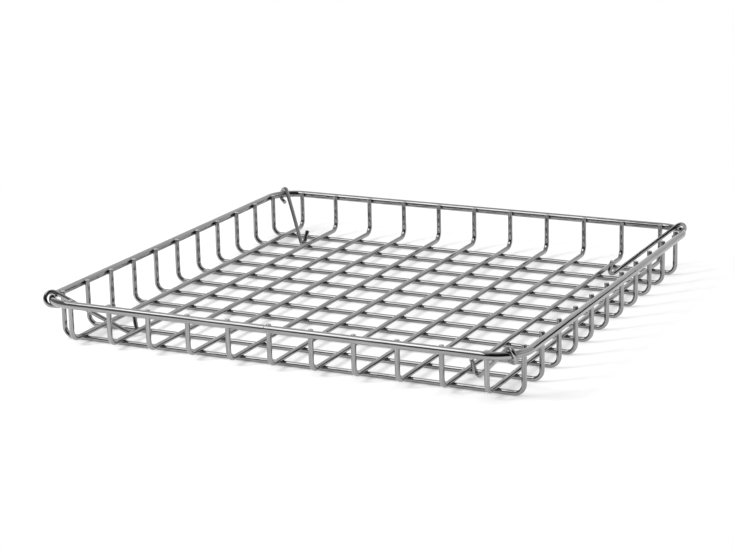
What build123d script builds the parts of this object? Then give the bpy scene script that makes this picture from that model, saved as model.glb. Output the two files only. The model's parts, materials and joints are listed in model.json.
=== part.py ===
from build123d import *

import os
from math import atan2, cos, radians, sin, sqrt

# A square basket tray of welded round wire, with a loose wire hook at each corner of its rim.
# Millimetres. +Z is up, +X to the right and +Y to the back. The origin is on the table, under
# the middle of the tray, and the lower layer of floor wires stands on z = 0.

# Tray, outside
tray_width = 406.4  # left to right, over the rim
tray_depth = 406.4  # front to back, over the rim
tray_height = 39.0  # table to the top of the rim

# Wire
rim_wire_d = 6.0
mesh_wire_d = 4.0
hook_wire_d = 3.5
mesh_end_round = 0.5  # tumbled edge of a cut end
hook_end_round = 0.5

# Mesh
upper_wires = 11  # front to back, upper layer
lower_wires = 11  # left to right, lower layer
edge_space = 25.2  # rim's centre line to the centre of the first wire
wall_bend_r = 7.5  # centre line of the bend from floor to wall
corner_land = 0.2  # straight rim left past the centre of the first wire
wall_end_drop = 0.6  # wall wires stop this far below the top of the rim

# Hook, in the order in which it is bent
hook_clearance = 0.45  # loop to rim, all round
loop_tail = 6.8
loop_wrap = 204.0  # degrees round the rim, from the tail to the shank
loop_tilt = 20.0  # degrees, so that the tail comes out beside the shank
hook_bend_r = 4.0  # centre line of the end bend
hook_bend_turn = 128.0  # degrees
hook_bend_twist = 23.0  # degrees to the left of the shank, looking along it
hook_tip = 9.3  # straight end past the bend

# Hooks at rest, loose on the rim: which sides of the tray meet at the corner, how far the loop
# has slid round the corner from its middle, and how far the shank is turned from straight in.
# Both are in degrees, clockwise from above.
hooks = {
    "front_left": (-1, -1, 10, 0),
    "front_right": (1, -1, 0, 2),
    "back_left": (-1, 1, 0, 4.5),
    "back_right": (1, 1, 0, 6),
}
hook_floor_gap = 0.8  # bend to the table
hook_room = 0.2  # bend to the nearest inner wire of the floor

# Worked out from the above
rim_half_x = (tray_width - rim_wire_d) / 2
rim_half_y = (tray_depth - rim_wire_d) / 2
rim_z = tray_height - rim_wire_d / 2
rim_corner_r = edge_space - corner_land  # centre line
wall_inset = (rim_wire_d + mesh_wire_d) / 2  # wall wires touch the rim's inner side
wall_top = tray_height - wall_end_drop
lower_z = mesh_wire_d / 2
upper_z = lower_z + mesh_wire_d  # the upper layer lies on the lower one
pitch_x = 2 * (rim_half_x - edge_space) / (upper_wires - 1)
pitch_y = 2 * (rim_half_y - edge_space) / (lower_wires - 1)

loop_r = ((rim_wire_d + hook_wire_d) / 2 + hook_clearance) / cos(radians(loop_tilt))
bend_side = loop_r * sin(radians(loop_tilt)) + hook_bend_r * sin(radians(hook_bend_twist))
bend_lift = loop_r * cos(radians(loop_tilt)) + hook_bend_r * cos(radians(hook_bend_twist))


def hook_ways(side_x, side_y, slid, turned):
    """Level directions of a hook: out of the corner, along the hook and to its left."""
    outward = Vector(side_x, side_y, 0).normalized().rotate(Axis.Z, -slid)
    along = (-outward).rotate(Axis.Z, -turned)
    return outward, along, Vector(0, 0, 1).cross(along)


def longest_reach(side_x, side_y, slid, turned):
    """How far a hook's end bend may be from its pivot and stay clear of the inner wires."""
    outward, along, left = hook_ways(side_x, side_y, slid, turned)
    reaches = []
    for inward, pitch in ((Vector(-side_x, 0, 0), pitch_x), (Vector(0, -side_y, 0), pitch_y)):
        pivot_in = rim_corner_r * (1 + outward.dot(inward))
        bend_size = hook_bend_r + (hook_wire_d + mesh_wire_d) / 2 + hook_room
        cell_room = edge_space + pitch - pivot_in - bend_size - bend_side * left.dot(inward)
        reaches.append(cell_room / along.dot(inward))
    return min(reaches)


# The end bend's centre, out along the hook and up from the pivot. The hooks are alike, so the
# tightest corner sets the reach. The shank's length and slope follow from where the bend lies.
bend_out = min(longest_reach(*lie) for lie in hooks.values())
bend_up = hook_floor_gap + hook_wire_d / 2 + hook_bend_r - rim_z
shank_length = sqrt(bend_out**2 + bend_up**2 - bend_lift**2)
shank_slope = atan2(-bend_up, bend_out) + atan2(bend_lift, shank_length)


def save(piece, label):
    """Name a finished piece and write its file."""
    piece.part.label = label
    export_step(piece.part, f"parts/{label}.step")


def make_rim():
    """The rim: one ring of thick wire with rounded corners."""
    with BuildPart() as rim:
        with BuildLine(Plane.XY.offset(rim_z)) as ring:
            FilletPolyline(
                (-rim_half_x, -rim_half_y),
                (rim_half_x, -rim_half_y),
                (rim_half_x, rim_half_y),
                (-rim_half_x, rim_half_y),
                radius=rim_corner_r,
                close=True,
            )
        with BuildSketch(Plane(origin=ring.line @ 0, z_dir=ring.line % 0)):
            Circle(rim_wire_d / 2)
        sweep()
    save(rim, "rim_wire")


def make_floor_wire(label, plane, half_run, z):
    """One mesh wire: down the wall, across the floor and up the far wall."""
    with BuildPart() as wire:
        with BuildLine(plane) as route:
            FilletPolyline(
                (-half_run, wall_top),
                (-half_run, z),
                (half_run, z),
                (half_run, wall_top),
                radius=wall_bend_r,
            )
        with BuildSketch(Plane(origin=route.line @ 0, z_dir=route.line % 0)):
            Circle(mesh_wire_d / 2)
        sweep()
        fillet(wire.faces().filter_by(GeomType.PLANE).edges(), mesh_end_round)
    save(wire, label)


def make_hook(label, lie):
    """A corner hook: an open loop round the rim, a straight shank and an upturned end."""
    outward, along, left = hook_ways(*lie)
    up = Vector(0, 0, 1)
    side_x, side_y, _, _ = lie
    arc_centre = Vector(side_x * (rim_half_x - rim_corner_r), side_y * (rim_half_y - rim_corner_r), rim_z)
    pivot = arc_centre + outward * rim_corner_r
    shank_way = along * cos(shank_slope) - up * sin(shank_slope)
    lift = along * sin(shank_slope) + up * cos(shank_slope)
    loop_lift = lift * cos(radians(loop_tilt)) + left * sin(radians(loop_tilt))
    tip_lift = lift * cos(radians(hook_bend_twist)) + left * sin(radians(hook_bend_twist))
    loop_plane = Plane(origin=pivot, x_dir=shank_way, z_dir=shank_way.cross(loop_lift))

    with BuildPart() as hook:
        with BuildLine(loop_plane):
            loop = CenterArc((0, 0), loop_r, 90, loop_wrap)
            tail = Line(loop @ 1, loop @ 1 + (loop % 1) * loop_tail)
            shank = Line(loop @ 0, loop @ 0 + shank_way * shank_length)
        bend_plane = Plane(origin=shank @ 1, x_dir=shank_way, z_dir=shank_way.cross(tip_lift))
        with BuildLine(bend_plane):
            bend = CenterArc((0, hook_bend_r), hook_bend_r, -90, hook_bend_turn)
            Line(bend @ 1, bend @ 1 + (bend % 1) * hook_tip)
        with BuildSketch(Plane(origin=tail @ 1, z_dir=tail % 1)):
            Circle(hook_wire_d / 2)
        sweep()
        fillet(hook.faces().filter_by(GeomType.PLANE).edges(), hook_end_round)
    save(hook, label)


os.makedirs("parts", exist_ok=True)

make_rim()

for i in range(upper_wires):
    x = (i - (upper_wires - 1) / 2) * pitch_x
    front_to_back = Plane(origin=(x, 0, 0), x_dir=(0, 1, 0), z_dir=(1, 0, 0))
    make_floor_wire(f"upper_wire_{i + 1:02d}", front_to_back, rim_half_y - wall_inset, upper_z)

for i in range(lower_wires):
    y = (i - (lower_wires - 1) / 2) * pitch_y
    left_to_right = Plane(origin=(0, y, 0), x_dir=(1, 0, 0), z_dir=(0, -1, 0))
    make_floor_wire(f"lower_wire_{i + 1:02d}", left_to_right, rim_half_x - wall_inset, lower_z)

for corner, lie in hooks.items():
    make_hook(f"corner_hook_{corner}", lie)
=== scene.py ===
"""Looks of a square wire basket tray: polished stainless steel wire, bent and spot welded.

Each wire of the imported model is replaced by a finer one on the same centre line, with its cut
ends, its flattened bends and the weld metal where it meets its neighbours. Metres, in the
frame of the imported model.
"""

import json
import random
from math import atan2, ceil, cos, pi, radians, sin, sqrt, tau

import bpy
import numpy as np
from mathutils import Matrix, Vector


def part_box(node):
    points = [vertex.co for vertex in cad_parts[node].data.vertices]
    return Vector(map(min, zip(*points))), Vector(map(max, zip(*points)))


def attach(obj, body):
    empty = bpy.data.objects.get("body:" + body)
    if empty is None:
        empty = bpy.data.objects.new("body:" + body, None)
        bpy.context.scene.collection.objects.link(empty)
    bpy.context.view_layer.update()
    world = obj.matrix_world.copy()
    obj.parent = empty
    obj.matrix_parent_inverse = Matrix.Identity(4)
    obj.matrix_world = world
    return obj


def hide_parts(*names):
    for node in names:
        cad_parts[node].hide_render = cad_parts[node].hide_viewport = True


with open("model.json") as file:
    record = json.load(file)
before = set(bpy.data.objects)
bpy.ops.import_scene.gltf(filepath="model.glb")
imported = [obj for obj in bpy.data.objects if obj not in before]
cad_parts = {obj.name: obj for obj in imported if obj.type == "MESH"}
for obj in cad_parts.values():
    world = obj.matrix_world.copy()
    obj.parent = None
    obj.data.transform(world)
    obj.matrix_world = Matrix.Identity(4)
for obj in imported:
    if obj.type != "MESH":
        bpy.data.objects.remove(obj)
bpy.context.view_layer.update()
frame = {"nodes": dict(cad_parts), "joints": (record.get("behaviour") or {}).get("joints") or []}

MM = 0.001
UP = Vector((0, 0, 1))

# Bends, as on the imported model. Radii are those of the wire's centre line.
WALL_BEND_R = 7.5 * MM  # of a mesh wire, from floor to wall
CORNER_LAND = 0.2 * MM  # straight rim left past the centre of the first wall wire
LOOP_CLEARANCE = 0.45 * MM  # hook's loop to the rim
LOOP_TAIL = 6.8 * MM  # straight wire past the loop
LOOP_WRAP = radians(204)  # round the rim
LOOP_TILT = radians(20)  # so that the tail passes beside the shank
HOOK_BEND_R = 4 * MM
HOOK_BEND_TURN = radians(128)
HOOK_BEND_TWIST = radians(23)  # the end bend leans out of the upright
HOOK_TIP = 9.3 * MM  # straight wire past the end bend
HOOK_REACH = 60.609 * MM  # level, from the rim's centre line to the middle of the end bend
HOOK_FLOOR_GAP = 0.8 * MM  # under the end bend
HOOK_WIRE_D = 3.5 * MM
# How far each hook lies turned from the corner's diagonal, in degrees
HOOK_TURNED = {"front_left": 0, "front_right": 2, "back_left": 4.5, "back_right": 6}

# Wire, as it comes from the bender and the welder
CUT_ROUND = 0.5 * MM  # tumbled edge of a cut end
CUT_ROUND_STEPS = (0, 30, 60, 90)  # degrees
CUT_DOME = 0.05 * MM  # the end face rises a third of this to its middle ring, and half of it from there
CUT_FACE = 0.9  # inside this share of the wire's radius it is the end face
RIGHT_SPARE = 0.8 * MM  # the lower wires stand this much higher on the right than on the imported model
BEND_FLATTENING = 0.05  # share of its thickness that a wire loses across a sharp bend
PIN_FLAT = 0.13  # share of its radius that the bending pin presses flat on the inside of a bend
WRINKLE_DEPTH, WRINKLE_PITCH = 0.03 * MM, 2.4 * MM  # waves that the pin leaves there
STRAY = 0.05 * MM  # how far a straightened wire strays from its line
STRAY_WAVES = (150 * MM, 67 * MM, 31 * MM)
STRAY_LEAST = 0.4  # the weakest wave, as a share of the strongest
WELD_WAIST = 1.05 * MM  # radius of the weld metal half way between two wires
WELD_SPREAD = 1.55 * MM  # radius at which it runs out on them
WELD_UNEVEN = (0.88, 1.08)  # least and greatest spread of a weld, as shares of that
WELD_LEAN = (0.02, 0.1)  # share by which a weld is wider on one side
WELD_SINK = 0.06 * MM  # its edge is this far inside the wire
WELD_CORE = 0.25  # and its closed end is this share of the wire's radius deep
WELD_TINT_RADIUS = 3.2 * MM  # radius of the darker patch round a weld, part heat tint and part painted shade

# Surface. Lengths and widths of its patterns are in mm, as the pattern's own places are. Die marks
# are really about 0.05 mm wide: they are drawn as wide as it takes to show.
PATTERN_STEP = 1000  # along the pattern from one wire to the next, so that no two are alike
DIE_MARK_LENGTH, DIE_MARK_WIDTH, DIE_MARK_DEPTH = 30, 0.6, 0.004 * MM
DIE_MARK_RANGE = (0.35, 0.75)  # of the noise, from unmarked to fully marked
DIE_MARK_TINT = "#C4C4C4"
RIPPLE_LENGTH, RIPPLE_WIDTH, RIPPLE_DEPTH = 9, 5, 0.07 * MM
POLISH_GRAIN = 0.5
POLISH_GRAIN_RANGE = (0.3, 0.7)
POLISH_ROUGHNESS = (0.012, 0.0216)
# Painted shade: this grey round each weld is partly heat tint and partly the shade of the crossed wires
# on each other, painted in
HEAT_TINT_AND_PAINTED_SHADE = "#8C8A87"
WELD_TINT_PATCHES = (0.55, 1.0)  # its weakest and strongest patches
WELD_TINT_FULL = 0.75  # it is full from this share of the way in from the edge of its patch
WELD_DULLING = 0.22  # roughness that a weld adds
WELD_PITTING = 0.05 * MM
# Painted highlight: the end faces are lightened to show the glint on their rounded tops; their added
# roughness is real
CUT_PAINTED_HIGHLIGHT_TINT = "#BEBEBE"
CUT_DULLING = 0.05

# Fineness of the meshes
MESH_WIRE_SIDES = 24
RIM_SIDES = 36
HOOK_SIDES = 32
WELD_SIDES = 20
WELD_LEVELS = 3  # rings of a weld on each side of its waist
RING_STEP = 8 * MM  # on a straight run
WELD_RING_STEP = 0.8 * MM  # on a straight run, beside a weld
LEAST_RING_STEP = WELD_RING_STEP / 3
BEND_RING_STEP = radians(3)
STEEP = 0.9  # a wire that sets out steeper than this gets another cross direction than up


def between(low, high, share):
    return low + (high - low) * share


class Route:
    """The centre line of a wire, as it is bent: its stations' places, directions and bends."""

    def __init__(self, start):
        self.places = [Vector(start)]
        self.ways = []
        self.insides = [Vector()]  # towards the inside of the bend, up to 1 long

    def run(self, end, welds=()):
        """A straight run to end, with more stations beside the places where it is welded."""
        start = self.places[-1]
        length = (Vector(end) - start).length
        way = (Vector(end) - start) / length
        if not self.ways:
            self.ways.append(way)
        count = ceil(length / RING_STEP)
        stops = {round(length * i / count, 6) for i in range(count)}
        steps = round(WELD_TINT_RADIUS / WELD_RING_STEP)
        for weld in welds:
            at = (Vector(weld) - start).dot(way)
            stops |= {round(at + i * WELD_RING_STEP, 6) for i in range(-steps, steps + 1)}
        kept = 0.0
        for stop in sorted(stops):
            if stop - kept > LEAST_RING_STEP and length - stop > LEAST_RING_STEP:
                self._add(start + way * stop, way, Vector())
                kept = stop
        self._add(Vector(end), way, Vector())
        return self

    def bend(self, centre, axis, angle):
        """An arc round centre. The wire is most flattened in the middle of it."""
        centre = Vector(centre)
        arm = self.places[-1] - centre
        if not self.ways:
            self.ways.append(axis.cross(arm).normalized())
        steps = ceil(angle / BEND_RING_STEP)
        for i in range(1, steps + 1):
            turned = arm.copy()
            turned.rotate(Matrix.Rotation(angle * i / steps, 3, axis))
            sharpness = sqrt(max(0.0, sin(pi * i / steps)))
            self._add(centre + turned, axis.cross(turned).normalized(), -turned.normalized() * sharpness)
        return self

    def _add(self, place, way, inside):
        self.places.append(place)
        self.ways.append(way)
        self.insides.append(inside)


def stray_of(seed):
    """How far a wire strays sideways at each length along it, in its two cross directions."""
    draw = random.Random(seed)
    sides = [
        [(tau / wave, draw.uniform(0, tau), draw.uniform(STRAY_LEAST, 1)) for wave in STRAY_WAVES]
        for _ in range(2)
    ]
    return lambda s: [STRAY / 2 * sum(a * sin(k * s + p) for k, p, a in waves) for waves in sides]


def wire(name, route, diameter, sides, seed, welds=(), closed=False):
    """A round wire along a route, as one closed skin.

    A bend is a little flattened across, and on its inside the pin has pressed a slightly
    wrinkled flat.
    """
    radius = diameter / 2
    stray = stray_of(seed)
    places, ways, insides = route.places, route.ways, route.insides
    if closed:
        places, ways, insides = places[:-1], ways[:-1], insides[:-1]
    side_way = ways[0].orthogonal().normalized() if abs(ways[0].z) > STEEP else UP
    rings = []
    length = 0.0
    for i, (place, way, inside) in enumerate(zip(places, ways, insides)):
        length += (place - places[i - 1]).length if i else 0.0
        side_way = (side_way - way * side_way.dot(way)).normalized()
        a, b = (0.0, 0.0) if closed else stray(length)
        cross_way = way.cross(side_way)
        place = place + side_way * a + cross_way * b
        rings.append([place, way, side_way, cross_way, inside, radius, length])
    if not closed:
        rings = cut_end(rings[0], -1)[::-1] + rings[1:-1] + cut_end(rings[-1], 1)

    turn = [(cos(tau * k / sides), sin(tau * k / sides)) for k in range(sides)]
    points, drawn, cut = [], [], []
    for place, way, side_way, cross_way, inside, ring_radius, along in rings:
        flattening = BEND_FLATTENING * inside.length
        flat_way = inside.normalized() if flattening else side_way
        wide_way = way.cross(flat_way)
        wrinkle = WRINKLE_DEPTH * inside.length * sin(tau * along / WRINKLE_PITCH + seed)
        for c, s in turn:
            out = (side_way * c + cross_way * s) * ring_radius
            out -= out * max(0.0, out.dot(flat_way)) / ring_radius**2 * wrinkle
            over = out.dot(flat_way) - ring_radius * (1 - PIN_FLAT * inside.length)
            if not closed and flattening and over > 0:
                out -= flat_way * over
            out -= flat_way * out.dot(flat_way) * flattening
            out += wide_way * out.dot(wide_way) * flattening / 2
            points.append(place + out)
            drawn.append((along / MM + PATTERN_STEP * seed, radius * c / MM, radius * s / MM))
            cut.append(1.0 if ring_radius < radius * CUT_FACE else 0.0)
    faces = []
    count = len(rings)
    for i in range(count if closed else count - 1):
        for k in range(sides):
            m = (k + 1) % sides
            j = (i + 1) % count
            faces.append((i * sides + k, i * sides + m, j * sides + m, j * sides + k))
    if not closed:
        for ring, sign, first in ((rings[0], -1, 0), (rings[-1], 1, (count - 1) * sides)):
            points.append(ring[0] + ring[1] * sign * CUT_DOME / 2)
            drawn.append((ring[-1] / MM + PATTERN_STEP * seed, 0, 0))
            cut.append(1.0)
            middle = len(points) - 1
            for k in range(sides):
                edge = (first + k, first + (k + 1) % sides)
                faces.append((*edge[::sign], middle))
    return mesh_piece(name, points, faces, drawn=drawn, cut=cut, weld=weld_tint_at(points, welds))


def cut_end(ring, sign):
    """The rings that round off a cut end: the full section first, the edge of its dome last."""
    place, way, side_way, cross_way, inside, radius, length = ring
    rings = []
    for degree in CUT_ROUND_STEPS:
        back = CUT_ROUND * (1 - sin(radians(degree)))
        shrunk = radius - CUT_ROUND * (1 - cos(radians(degree)))
        rings.append([place - way * sign * back, way, side_way, cross_way, inside, shrunk, length])
    inner = (radius - CUT_ROUND) / 2
    rings.append([place + way * sign * CUT_DOME / 3, way, side_way, cross_way, inside, inner, length])
    return rings


def weld_tint_at(points, welds):
    """How far into the tinted patch of the nearest weld each point lies, from 0 to 1."""
    if not welds:
        return [0.0] * len(points)
    at = np.array(points)[:, None, :] - np.array([tuple(w) for w in welds])[None, :, :]
    near = 1 - np.linalg.norm(at, axis=2).min(axis=1) / WELD_TINT_RADIUS
    return np.clip(near, 0, 1).tolist()


def mesh_piece(name, points, faces, **attributes):
    """A smooth shaded mesh object with its named attributes, one value to a vertex."""
    mesh = bpy.data.meshes.new(name)
    mesh.from_pydata([tuple(p) for p in points], [], faces)
    mesh.shade_smooth()
    for label, values in attributes.items():
        vector = not isinstance(values[0], float)
        layer = mesh.attributes.new(label, "FLOAT_VECTOR" if vector else "FLOAT", "POINT")
        layer.data.foreach_set("vector" if vector else "value", np.array(values, np.float32).ravel())
    piece = bpy.data.objects.new(name, mesh)
    bpy.context.scene.collection.objects.link(piece)
    return piece


def weld_metal(name, contacts, seed):
    """The metal squeezed out round each contact of two crossed wires, as one small closed body each.

    A contact is its place, the way from the first wire to the second, the way across each wire
    and their radii.
    """
    draw = random.Random(seed)
    points, faces = [], []
    shares = [i / WELD_LEVELS for i in range(-WELD_LEVELS, WELD_LEVELS + 1)]
    for place, normal, across_1, across_2, radius_1, radius_2 in contacts:
        first = len(points)
        spread = WELD_SPREAD * draw.uniform(*WELD_UNEVEN)
        lean, phase = draw.uniform(*WELD_LEAN), draw.uniform(0, tau)
        outwards = 1 if across_1.cross(across_2).dot(normal) > 0 else -1
        for share in shares:
            reach = between(WELD_WAIST, spread, share * share)
            for k in range(WELD_SIDES):
                angle = tau * k / WELD_SIDES
                out = reach * (1 + lean * cos(angle - phase) + lean / 2 * cos(3 * angle + phase))
                a, b = out * cos(angle), out * sin(angle)
                low = -WELD_SINK - (radius_1 - sqrt(radius_1**2 - a * a))
                high = WELD_SINK + (radius_2 - sqrt(radius_2**2 - b * b))
                height = between(low, high, (1 + share) / 2)
                points.append(place + across_1 * a + across_2 * b + normal * height)
        for i in range(len(shares) - 1):
            for k in range(WELD_SIDES):
                m = (k + 1) % WELD_SIDES
                at, above = first + i * WELD_SIDES, first + (i + 1) * WELD_SIDES
                faces.append((at + k, at + m, above + m, above + k)[::outwards])
        for sign, ring in ((-1, first), (1, first + (len(shares) - 1) * WELD_SIDES)):
            points.append(place + normal * sign * radius_1 * WELD_CORE)
            for k in range(WELD_SIDES):
                m = (k + 1) % WELD_SIDES
                faces.append((ring + m, ring + k, len(points) - 1)[:: -sign * outwards])
    drawn = [tuple(p / MM) for p in points]
    cut, weld = [0.0] * len(points), [1.0] * len(points)
    return mesh_piece(name, points, faces, drawn=drawn, cut=cut, weld=weld)


def srgb(code):
    """A hex colour, as linear red, green, blue and alpha."""
    channels = [int(code[i : i + 2], 16) / 255 for i in (1, 3, 5)]
    return tuple(c / 12.92 if c <= 0.04045 else ((c + 0.055) / 1.055) ** 2.4 for c in channels) + (1.0,)


def add_node(tree, kind, inputs=(), output=0, **settings):
    """A node with its settings, and its inputs as values or as the outputs that feed them."""
    node = tree.nodes.new(kind)
    for setting, value in settings.items():
        setattr(node, setting, value)
    for socket, value in dict(inputs).items():
        if isinstance(value, bpy.types.NodeSocket):
            tree.links.new(value, node.inputs[socket])
        else:
            node.inputs[socket].default_value = value
    return node.outputs[output]


def polished_steel(name, colour):
    """Stainless steel wire, drawn through a die, spot welded and electropolished.

    The polish leaves a mirror, which shows the room in sharp lines along the wire. The marks of
    the die run along it as faint streaks, slow ripples from the straightening rolls make the
    lines waver, and the metal beside each weld is darker: partly a dull straw to grey heat tint,
    partly painted shade where the crossed wires shade each other. The sheared ends are rougher,
    and lighter as a painted highlight for the glint on their rounded tops.
    """
    material = bpy.data.materials.new(name)
    material.use_nodes = True
    tree = material.node_tree
    drawn = add_node(tree, "ShaderNodeAttribute", output="Vector", attribute_name="drawn")
    weld = add_node(tree, "ShaderNodeAttribute", output="Fac", attribute_name="weld")
    cut = add_node(tree, "ShaderNodeAttribute", output="Fac", attribute_name="cut")

    noises = []
    for length, width, detail in (
        (DIE_MARK_LENGTH, DIE_MARK_WIDTH, 2.0),
        (RIPPLE_LENGTH, RIPPLE_WIDTH, 1.0),
        (POLISH_GRAIN, POLISH_GRAIN, 3.0),
    ):
        scale = (1 / length, 1 / width, 1 / width)
        at = add_node(tree, "ShaderNodeVectorMath", {0: drawn, 1: scale}, operation="MULTIPLY")
        fineness = {"Vector": at, "Scale": 1.0, "Detail": detail}
        noises.append(add_node(tree, "ShaderNodeTexNoise", fineness))
    die_marks, ripple, grain = noises

    ranges = []
    for value, (start, end), (first, last) in (
        (die_marks, DIE_MARK_RANGE, (0.0, 1.0)),
        (grain, POLISH_GRAIN_RANGE, WELD_TINT_PATCHES),
        (grain, POLISH_GRAIN_RANGE, POLISH_ROUGHNESS),
        (weld, (0.0, WELD_TINT_FULL), (0.0, 1.0)),
    ):
        ends = {"Value": value, "From Min": start, "From Max": end, "To Min": first, "To Max": last}
        ranges.append(add_node(tree, "ShaderNodeMapRange", ends))
    marked, patchy, dull, near_weld = ranges
    # painted shade: this mask darkens the metal round each weld along with the heat tint, and also dulls
    # and pits it
    heat_and_shade = add_node(tree, "ShaderNodeMath", {0: near_weld, 1: patchy}, operation="MULTIPLY")

    tone = srgb(colour)
    # the die marks are real, the grey round the welds is partly painted shade, and the lighter cut ends
    # are a painted highlight
    for share, tint, blend in (
        (marked, DIE_MARK_TINT, "MULTIPLY"),
        (heat_and_shade, HEAT_TINT_AND_PAINTED_SHADE, "MULTIPLY"),
        (cut, CUT_PAINTED_HIGHLIGHT_TINT, "MIX"),
    ):
        mixed = {"Factor": share, 6: tone, 7: srgb(tint)}
        tone = add_node(tree, "ShaderNodeMix", mixed, output=2, data_type="RGBA", blend_type=blend)
    for share, dulling in ((heat_and_shade, WELD_DULLING), (cut, CUT_DULLING)):
        added = {0: share, 1: dulling, 2: dull}
        dull = add_node(tree, "ShaderNodeMath", added, operation="MULTIPLY_ADD")

    pit_depth = add_node(tree, "ShaderNodeMath", {0: heat_and_shade, 1: WELD_PITTING}, operation="MULTIPLY")
    skin = add_node(tree, "ShaderNodeBump", {"Height": ripple, "Distance": RIPPLE_DEPTH})
    for height, depth in ((die_marks, DIE_MARK_DEPTH), (grain, pit_depth)):
        skin = add_node(tree, "ShaderNodeBump", {"Height": height, "Distance": depth, "Normal": skin})

    shader = tree.nodes["Principled BSDF"]
    shader.inputs["Metallic"].default_value = 1.0
    for socket, value in (("Base Color", tone), ("Roughness", dull), ("Normal", skin)):
        tree.links.new(value, shader.inputs[socket])
    return material


# The wires' places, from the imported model
rim_low, rim_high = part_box("rim_wire")
rim_wire_d = rim_high.z - rim_low.z
rim_half = (rim_high - rim_low) / 2 - Vector((rim_wire_d, rim_wire_d, 0)) / 2
rim_z = rim_high.z - rim_wire_d / 2
uppers = sorted(n for n in frame["nodes"] if n.startswith("upper_wire_"))
lowers = sorted(n for n in frame["nodes"] if n.startswith("lower_wire_"))
mesh_wire_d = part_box(uppers[0])[1].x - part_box(uppers[0])[0].x
upper_x = [sum(c.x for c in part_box(n)) / 2 for n in uppers]
lower_y = [sum(c.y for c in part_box(n)) / 2 for n in lowers]
lower_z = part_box(lowers[0])[0].z + mesh_wire_d / 2
upper_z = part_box(uppers[0])[0].z + mesh_wire_d / 2
wall_half = rim_half - Vector((1, 1, 0)) * (rim_wire_d + mesh_wire_d) / 2
wall_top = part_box(uppers[0])[1].z
rim_corner_r = rim_half.x - upper_x[-1] - CORNER_LAND

contact_reach = mesh_wire_d / 2  # from a wall wire's centre line to its weld on the rim
x_way, y_way = Vector((1, 0, 0)), Vector((0, 1, 0))


def basket_route(along, across, half, floor_z, spare=0.0):
    """One mesh wire: down its wall, over the floor and up the far wall.

    across is where it lies, as a vector. The welds are at its crossings and at the rim. At its
    far end it is longer by spare.
    """
    low, high = across - along * half, across + along * half
    inner = half - WALL_BEND_R
    bend_z = UP * (floor_z + WALL_BEND_R)
    axis = along.cross(UP)
    crossings = [along * c + across + UP * floor_z for c in (lower_y if along is y_way else upper_x)]
    route = Route(low + UP * wall_top)
    route.run(low + bend_z, [low + UP * rim_z])
    route.bend(across - along * inner + bend_z, axis, pi / 2)
    route.run(across + along * inner + UP * floor_z, crossings)
    route.bend(across + along * inner + bend_z, axis, pi / 2)
    route.run(high + UP * (wall_top + spare), [high + UP * rim_z])
    return route


def rim_route():
    """The rim's ring, from the middle of the front and round to the right."""
    straight = rim_half - Vector((1, 1, 0)) * rim_corner_r
    rim_welds = rim_contacts()
    route = Route((0, -rim_half.y, rim_z))
    corner_signs = ((1, -1), (1, 1), (-1, 1), (-1, -1))
    for i, (sx, sy) in enumerate(corner_signs):
        way = (x_way, y_way, -x_way, -y_way)[i]
        arm = -(UP.cross(way)) * rim_corner_r
        centre = Vector((sx * straight.x, sy * straight.y, rim_z))
        here = [w for w in rim_welds if abs((w - route.places[-1]).dot(UP.cross(way))) < rim_wire_d]
        route.run(centre + arm, here)
        route.bend(centre, UP, pi / 2)
    route.run((0, -rim_half.y, rim_z), [w for w in rim_welds if w.y < 0 and abs(w.y) > wall_half.y])
    return route


def rim_contacts():
    """Where the wall wires are welded to the inner side of the rim."""
    side_x, side_y = wall_half.x + contact_reach, wall_half.y + contact_reach
    ends = [Vector((x, side * side_y, rim_z)) for x in upper_x for side in (-1, 1)]
    return ends + [Vector((side * side_x, y, rim_z)) for y in lower_y for side in (-1, 1)]


def hook_route(joint, turned):
    """A corner hook: an open loop round the rim, a straight shank and an upturned end."""
    pivot = Vector(joint["pos_m"])
    outward = Vector((joint["axis"][1], -joint["axis"][0], 0))
    along = -outward
    along.rotate(Matrix.Rotation(-radians(turned), 3, UP))
    left = UP.cross(along)
    loop_r = ((rim_wire_d + HOOK_WIRE_D) / 2 + LOOP_CLEARANCE) / cos(LOOP_TILT)
    bend_lift = loop_r * cos(LOOP_TILT) + HOOK_BEND_R * cos(HOOK_BEND_TWIST)
    bend_up = HOOK_FLOOR_GAP + HOOK_WIRE_D / 2 + HOOK_BEND_R - rim_z
    shank_length = sqrt(HOOK_REACH**2 + bend_up**2 - bend_lift**2)
    slope = atan2(-bend_up, HOOK_REACH) + atan2(bend_lift, shank_length)
    shank_way = along * cos(slope) - UP * sin(slope)
    lift = along * sin(slope) + UP * cos(slope)
    loop_lift = lift * cos(LOOP_TILT) + left * sin(LOOP_TILT)
    tip_lift = lift * cos(HOOK_BEND_TWIST) + left * sin(HOOK_BEND_TWIST)

    loop_top = pivot + loop_lift * loop_r
    loop_axis = loop_lift.cross(shank_way)
    loop_end = loop_lift.copy()
    loop_end.rotate(Matrix.Rotation(-LOOP_WRAP, 3, loop_axis))
    tail_way = loop_end.cross(loop_axis)
    shank_end = loop_top + shank_way * shank_length
    tip_turn = Matrix.Rotation(HOOK_BEND_TURN, 3, shank_way.cross(tip_lift))

    route = Route(pivot + loop_end * loop_r + tail_way * LOOP_TAIL)
    route.run(pivot + loop_end * loop_r)
    route.bend(pivot, loop_axis, LOOP_WRAP)
    route.run(shank_end)
    route.bend(shank_end + tip_lift * HOOK_BEND_R, shank_way.cross(tip_lift), HOOK_BEND_TURN)
    route.run(route.places[-1] + tip_turn @ shank_way * HOOK_TIP)
    return route


mesh_steel = polished_steel("mesh_wire_polished_steel", "#A6A6A6")
rim_steel = polished_steel("rim_wire_polished_steel", "#A8A8A8")
hook_steel = polished_steel("hook_wire_polished_steel", "#A8A8A8")


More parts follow.
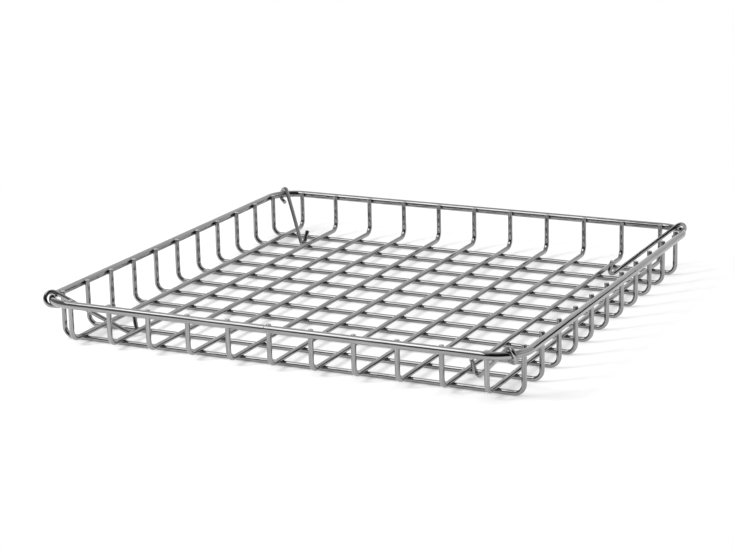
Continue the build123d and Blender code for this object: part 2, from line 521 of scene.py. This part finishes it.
def fasten(piece, body, slot, material, *nodes):
    """Fixes a finished piece to its body with its material, and hides the parts it replaces."""
    piece.data.materials.append(material)
    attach(piece, body)
    if nodes:
        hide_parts(*nodes)


seed = 0
for node, x in zip(uppers, upper_x):
    seed += 1
    route = basket_route(y_way, x_way * x, wall_half.y, upper_z)
    contacts = [Vector((x, y, (upper_z + lower_z) / 2)) for y in lower_y]
    contacts += [Vector((x, s * (wall_half.y + contact_reach), rim_z)) for s in (-1, 1)]
    piece = wire(node.replace("wire", "mesh_wire"), route, mesh_wire_d, MESH_WIRE_SIDES, seed, contacts)
    fasten(piece, "tray", "mesh_wire", mesh_steel, node)

for node, y in zip(lowers, lower_y):
    seed += 1
    route = basket_route(x_way, y_way * y, wall_half.x, lower_z, RIGHT_SPARE)
    contacts = [Vector((x, y, (upper_z + lower_z) / 2)) for x in upper_x]
    contacts += [Vector((s * (wall_half.x + contact_reach), y, rim_z)) for s in (-1, 1)]
    piece = wire(node.replace("wire", "mesh_wire"), route, mesh_wire_d, MESH_WIRE_SIDES, seed, contacts)
    fasten(piece, "tray", "mesh_wire", mesh_steel, node)

rim = wire("rim_ring", rim_route(), rim_wire_d, RIM_SIDES, 0, rim_contacts(), closed=True)
fasten(rim, "tray", "rim_wire", rim_steel, "rim_wire")

for joint in frame["joints"]:
    corner = joint["child"].removesuffix("_hook")
    seed += 1
    hook = wire(f"hook_{corner}", hook_route(joint, HOOK_TURNED[corner]), HOOK_WIRE_D, HOOK_SIDES, seed)
    fasten(hook, joint["child"], "hook_wire", hook_steel, f"corner_hook_{corner}")

crossings = [
    (Vector((x, y, (upper_z + lower_z) / 2)), UP, y_way, x_way, mesh_wire_d / 2, mesh_wire_d / 2)
    for x in upper_x
    for y in lower_y
]
mesh_welds = weld_metal("mesh_weld_metal", crossings, seed=101)
fasten(mesh_welds, "tray", "mesh_wire", mesh_steel)

rim_joins = []
for contact in rim_contacts():
    if abs(contact.x) > wall_half.x:
        out = x_way if contact.x > 0 else -x_way
    else:
        out = y_way if contact.y > 0 else -y_way
    rim_joins.append((contact, out, UP.cross(out), UP, mesh_wire_d / 2, rim_wire_d / 2))
rim_welds = weld_metal("rim_weld_metal", rim_joins, seed=202)
fasten(rim_welds, "tray", "rim_wire", rim_steel)

# Camera, looking at the tray over its front right corner
CAMERA_SENSOR, CAMERA_LENS = 36, 102.94  # mm
CAMERA_PLACE = (0.72252, -1.50167, 0.48322)
camera_data = bpy.data.cameras.new("camera")
camera_data.sensor_width = CAMERA_SENSOR
camera_data.lens = CAMERA_LENS
camera = bpy.data.objects.new("camera", camera_data)
bpy.context.scene.collection.objects.link(camera)
camera_right = Vector((0.90037, 0.43457, -0.02199))
camera_down = Vector((0.09599, -0.24767, -0.96408))
camera_forward = Vector((-0.42441, 0.86592, -0.26470))
camera.matrix_world = Matrix.Translation(CAMERA_PLACE) @ Matrix(
    (camera_right, -camera_down, -camera_forward)
).transposed().to_4x4()
bpy.context.scene.camera = camera
bpy.context.scene.view_settings.view_transform = "Standard"

# Studio. Radiances are shares of white.
TABLE_HALF = 6.0
TABLE_WHITE, TABLE_ROUGHNESS = "#F7F7F7", 0.6
TABLE_GLOW = 0.25  # share of the table's white that no shadow takes away, near the tray
TABLE_FADE = (0.3, 0.6)  # how far off the shadows begin to fade, and how far off there are none
AMBIENT = 0.84  # what the room gives to all that isn't metal
BOX_PLACE = (-1.12, -1.27, 2.0)  # softbox: the middle of its face, over the tray's front left
BOX_SIZE = (1.06, 2.12)
BOX_RADIANCE = 2.4
LAMPS = (  # for the faint shadows: place, diameter and watts
    ((1.0, 1.2, 1.07), 0.4, 4.5),
    ((-0.75, -0.95, 0.9), 0.3, 8.0),
)
FLAG_PLACE = (0.62, 0.8, 0.21)  # upright black card that draws a dark line on the right of the rim
FLAG_HALF = (0.09, 0.16)
FLAG_BLACK = "#0A0A0A"
# The room in the metal: degrees to the right of straight behind the tray, and radiance
WALLS = (
    (-180, 0.15),
    (-125, 0.2),
    (-50, 0.3),
    (-36, 0.95),
    (18, 0.95),
    (46, 0.85),
    (62, 0.8),
    (104, 0.8),
    (132, 0.4),
    (180, 0.15),
)
WALL_TOP = sin(radians(49))  # the bright walls end here, in a ring tilted up at the back
WALL_TILT = radians(14)
WALL_TILT_WAY = (0.94, -0.34)  # its raised side: shares of straight behind the tray and of the right
WALL_EDGE = 0.07  # half the height of their soft upper edge
CEILING = 0.45
DARK_SIDE = (radians(124), radians(142))  # the room is dark behind the camera, from here round
DARK_TOP = (sin(radians(84)), sin(radians(66)))  # but not straight up, above these heights
DARKEST = 0.015


def facing(place, target, side):
    """The matrix of a thing at a place that faces its target, with its X axis along side."""
    back = (Vector(place) - Vector(target)).normalized()
    side = (side - back * side.dot(back)).normalized()
    return Matrix.Translation(place) @ Matrix((side, back.cross(side), back)).transposed().to_4x4()


def area_lamp(name, place, size, energy, shape, target, **settings):
    """An area lamp at a place, facing its target."""
    light = bpy.data.lights.new(name, "AREA")
    light.shape = shape
    light.size, light.size_y = size
    light.energy = energy
    lamp = bpy.data.objects.new(name, light)
    bpy.context.scene.collection.objects.link(lamp)
    lamp.matrix_world = facing(place, target, x_way)
    for setting, value in settings.items():
        setattr(lamp, setting, value)


def flat_piece(name, half_x, half_y, material):
    """A flat rectangle of the studio, round its own origin."""
    mesh = bpy.data.meshes.new(name)
    corners = [(x * half_x, y * half_y, 0) for x, y in ((-1, -1), (1, -1), (1, 1), (-1, 1))]
    mesh.from_pydata(corners, [], [(0, 1, 2, 3)])
    mesh.materials.append(material)
    piece = bpy.data.objects.new(name, mesh)
    bpy.context.scene.collection.objects.link(piece)
    return piece


def white_laminate():
    """Matt white laminate: it takes soft shadows, and is plain white further off."""
    material = bpy.data.materials.new("white_laminate")
    material.use_nodes = True
    tree = material.node_tree
    shader = tree.nodes["Principled BSDF"]
    shader.inputs["Base Color"].default_value = srgb(TABLE_WHITE)
    shader.inputs["Roughness"].default_value = TABLE_ROUGHNESS
    shader.inputs["Specular IOR Level"].default_value = 0.0
    place = add_node(tree, "ShaderNodeTexCoord", output="Object")
    distance = add_node(tree, "ShaderNodeVectorMath", {0: place}, output="Value", operation="LENGTH")
    near, far = TABLE_FADE
    ends = {"Value": distance, "From Min": near, "From Max": far, "To Min": TABLE_GLOW, "To Max": 1.0}
    glow = add_node(tree, "ShaderNodeMapRange", ends, interpolation_type="SMOOTHSTEP")
    rays = add_node(tree, "ShaderNodeLightPath").node.outputs
    seen = rays["Is Camera Ray"]
    for ray in ("Is Glossy Ray", "Is Transmission Ray"):
        seen = add_node(tree, "ShaderNodeMath", {0: seen, 1: rays[ray]}, operation="MAXIMUM")
    share = add_node(tree, "ShaderNodeMath", {0: seen, 1: glow}, operation="MULTIPLY")
    white = add_node(tree, "ShaderNodeEmission", {"Strength": 1.0})
    mix = add_node(tree, "ShaderNodeMixShader", {0: share, 1: shader.outputs[0], 2: white})
    tree.links.new(mix, tree.nodes["Material Output"].inputs["Surface"])
    return material


def black_velvet():
    """Black velvet: it gives back next to no light."""
    material = bpy.data.materials.new("black_velvet")
    material.use_nodes = True
    shader = material.node_tree.nodes["Principled BSDF"]
    shader.inputs["Base Color"].default_value = srgb(FLAG_BLACK)
    shader.inputs["Specular IOR Level"].default_value = 0.0
    return material


def studio_world():
    """White to the eye, plain white light on the table, and in the metal a room.

    Its walls are bright behind the tray and dimmer at the sides, its ceiling is grey, and behind
    the camera it is dark.
    """
    world = bpy.data.worlds.new("studio")
    bpy.context.scene.world = world
    world.use_nodes = True
    tree = world.node_tree
    away = Vector((camera_forward.x, camera_forward.y, 0)).normalized()
    aside = away.cross(UP)
    raised_side = away * WALL_TILT_WAY[0] + aside * WALL_TILT_WAY[1]
    tilted_up = UP * cos(WALL_TILT) - raised_side * sin(WALL_TILT)
    way = add_node(tree, "ShaderNodeTexCoord", output="Generated")
    ahead, beside, raised, height = [
        add_node(tree, "ShaderNodeVectorMath", {0: way, 1: axis}, output="Value", operation="DOT_PRODUCT")
        for axis in (away, aside, tilted_up, UP)
    ]
    azimuth = add_node(tree, "ShaderNodeMath", {0: beside, 1: ahead}, operation="ARCTAN2")
    turn = add_node(tree, "ShaderNodeMath", {0: azimuth}, operation="ABSOLUTE")
    share = add_node(tree, "ShaderNodeMath", {0: azimuth, 1: 1 / tau, 2: 0.5}, operation="MULTIPLY_ADD")
    walls = add_node(tree, "ShaderNodeValToRGB", {0: share})
    ramp = walls.node.color_ramp
    while len(ramp.elements) < len(WALLS):
        ramp.elements.new(0.5)
    for element, (degree, radiance) in zip(ramp.elements, WALLS):
        element.position = degree / 360 + 0.5
        element.color = (radiance, radiance, radiance, 1)
    edges = []
    for value, start, end in (
        (raised, WALL_TOP - WALL_EDGE, WALL_TOP + WALL_EDGE),
        (turn, *DARK_SIDE),
        (height, *DARK_TOP),
    ):
        ends = {"Value": value, "From Min": start, "From Max": end}
        edges.append(add_node(tree, "ShaderNodeMapRange", ends, interpolation_type="SMOOTHSTEP"))
    overhead, behind, below = edges
    dark = add_node(tree, "ShaderNodeMath", {0: behind, 1: below}, operation="MULTIPLY")
    room = walls
    for factor, radiance in ((overhead, CEILING), (dark, DARKEST)):
        mixed = {0: factor, 2: room, 3: radiance}
        room = add_node(tree, "ShaderNodeMix", mixed, data_type="FLOAT")
    plain, studio, white = [
        add_node(tree, "ShaderNodeBackground", {"Color": (1, 1, 1, 1), "Strength": strength})
        for strength in (AMBIENT, room, 1.0)
    ]
    rays = add_node(tree, "ShaderNodeLightPath").node.outputs
    lit = add_node(tree, "ShaderNodeMixShader", {0: rays["Is Glossy Ray"], 1: plain, 2: studio})
    seen = add_node(tree, "ShaderNodeMixShader", {0: rays["Is Camera Ray"], 1: lit, 2: white})
    tree.links.new(seen, tree.nodes["World Output"].inputs["Surface"])


studio_world()
flat_piece("table_top", TABLE_HALF, TABLE_HALF, white_laminate())
flag = flat_piece("flag", *FLAG_HALF, black_velvet())
flag.matrix_world = facing(FLAG_PLACE, (0, 0, FLAG_PLACE[2]), Vector((1, -1, 0)))
flag.visible_camera = flag.visible_diffuse = flag.visible_shadow = False
box_energy = BOX_RADIANCE * pi * BOX_SIZE[0] * BOX_SIZE[1]
area_lamp("softbox", BOX_PLACE, BOX_SIZE, box_energy, "RECTANGLE", (BOX_PLACE[0], BOX_PLACE[1], 0))
for i, (lamp_place, size, energy) in enumerate(LAMPS):
    area_lamp(f"lamp_{i}", lamp_place, (size, size), energy, "DISK", (0, 0, 0), visible_glossy=False)
